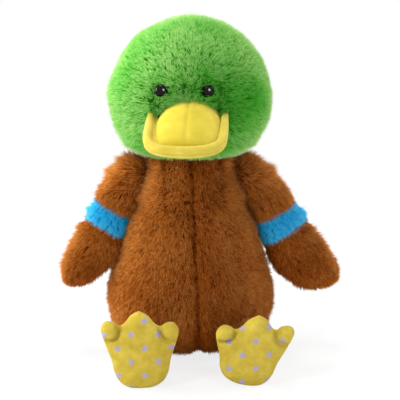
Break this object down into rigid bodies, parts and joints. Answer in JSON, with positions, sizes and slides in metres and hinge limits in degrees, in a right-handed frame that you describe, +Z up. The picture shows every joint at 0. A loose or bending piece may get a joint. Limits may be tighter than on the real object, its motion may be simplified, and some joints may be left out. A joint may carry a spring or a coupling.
{
  "type": "plush duck",
  "caption": "Sitting plush duck with a turning, nodding head, a padded bill, banded wings that lift and star-soled feet that lift.",
  "frame": {"origin": "middle of the flat seat that the duck sits on", "axes": "+Z up along the sitting height, -Y the way the duck faces, +X to the right of someone looking at its face"},
  "size_m": [0.261, 0.2136, 0.302],
  "materials": {
    "brown_plush": "long soft pile",
    "green_plush": "long soft pile",
    "blue_plush": "long soft pile",
    "yellow_velboa": "short pile",
    "star_print_velboa": "short pile with printed stars",
    "eye_black": "moulded, polished",
    "washer_white": "moulded",
    "stuffing": "loose polyester fibre",
    "bean_pouch_cloth": "plain woven"
  },
  "bodies": {
    "torso": {"torso_cover": "brown_plush", "torso_filling": "stuffing", "bean_pouch": "bean_pouch_cloth", "tail_cover": "brown_plush", "tail_filling": "stuffing"},
    "neck": {"neck_filling": "stuffing"},
    "head": {"head_cover": "green_plush", "head_filling": "stuffing", "eye_left": "eye_black", "eye_right": "eye_black", "eye_washer_left": "washer_white", "eye_washer_right": "washer_white", "bill_upper": "yellow_velboa", "bill_lower": "yellow_velboa", "bill_filling": "stuffing"},
    "wing_left": {"wing_sleeve_left": "brown_plush", "wing_band_left": "blue_plush", "wing_tip_left": "brown_plush", "wing_filling_left": "stuffing"},
    "wing_right": {"wing_sleeve_right": "brown_plush", "wing_band_right": "blue_plush", "wing_tip_right": "brown_plush", "wing_filling_right": "stuffing"},
    "leg_left": {"leg_cover_left": "brown_plush", "foot_top_left": "yellow_velboa", "foot_sole_left": "star_print_velboa", "leg_filling_left": "stuffing"},
    "leg_right": {"leg_cover_right": "brown_plush", "foot_top_right": "yellow_velboa", "foot_sole_right": "star_print_velboa", "leg_filling_right": "stuffing"}
  },
  "joints": [
    {"name": "neck_nod", "type": "hinge", "parent": "torso", "child": "neck", "pos_m": [0, 0, 0.168], "axis": [1, 0, 0], "range_deg": [-15, 15], "stiffness_Nm_per_rad": 0.4},
    {"name": "head_turn", "type": "hinge", "parent": "neck", "child": "head", "pos_m": [0, 0, 0.168], "axis": [0, 0, 1], "range_deg": [-23, 37], "stiffness_Nm_per_rad": 0.2},
    {"name": "shoulder_left", "type": "hinge", "parent": "torso", "child": "wing_left", "pos_m": [-0.05036, -0.004, 0.16], "axis": [0, 1, 0], "range_deg": [0, 75]},
    {"name": "shoulder_right", "type": "hinge", "parent": "torso", "child": "wing_right", "pos_m": [0.05036, -0.004, 0.16], "axis": [0, -1, 0], "range_deg": [0, 75]},
    {"name": "hip_left", "type": "hinge", "parent": "torso", "child": "leg_left", "pos_m": [-0.045, -0.06017, 0.0215], "axis": [-1, 0, 0], "range_deg": [0, 28]},
    {"name": "hip_right", "type": "hinge", "parent": "torso", "child": "leg_right", "pos_m": [0.045, -0.06017, 0.0215], "axis": [-1, 0, 0], "range_deg": [0, 28]}
  ]
}
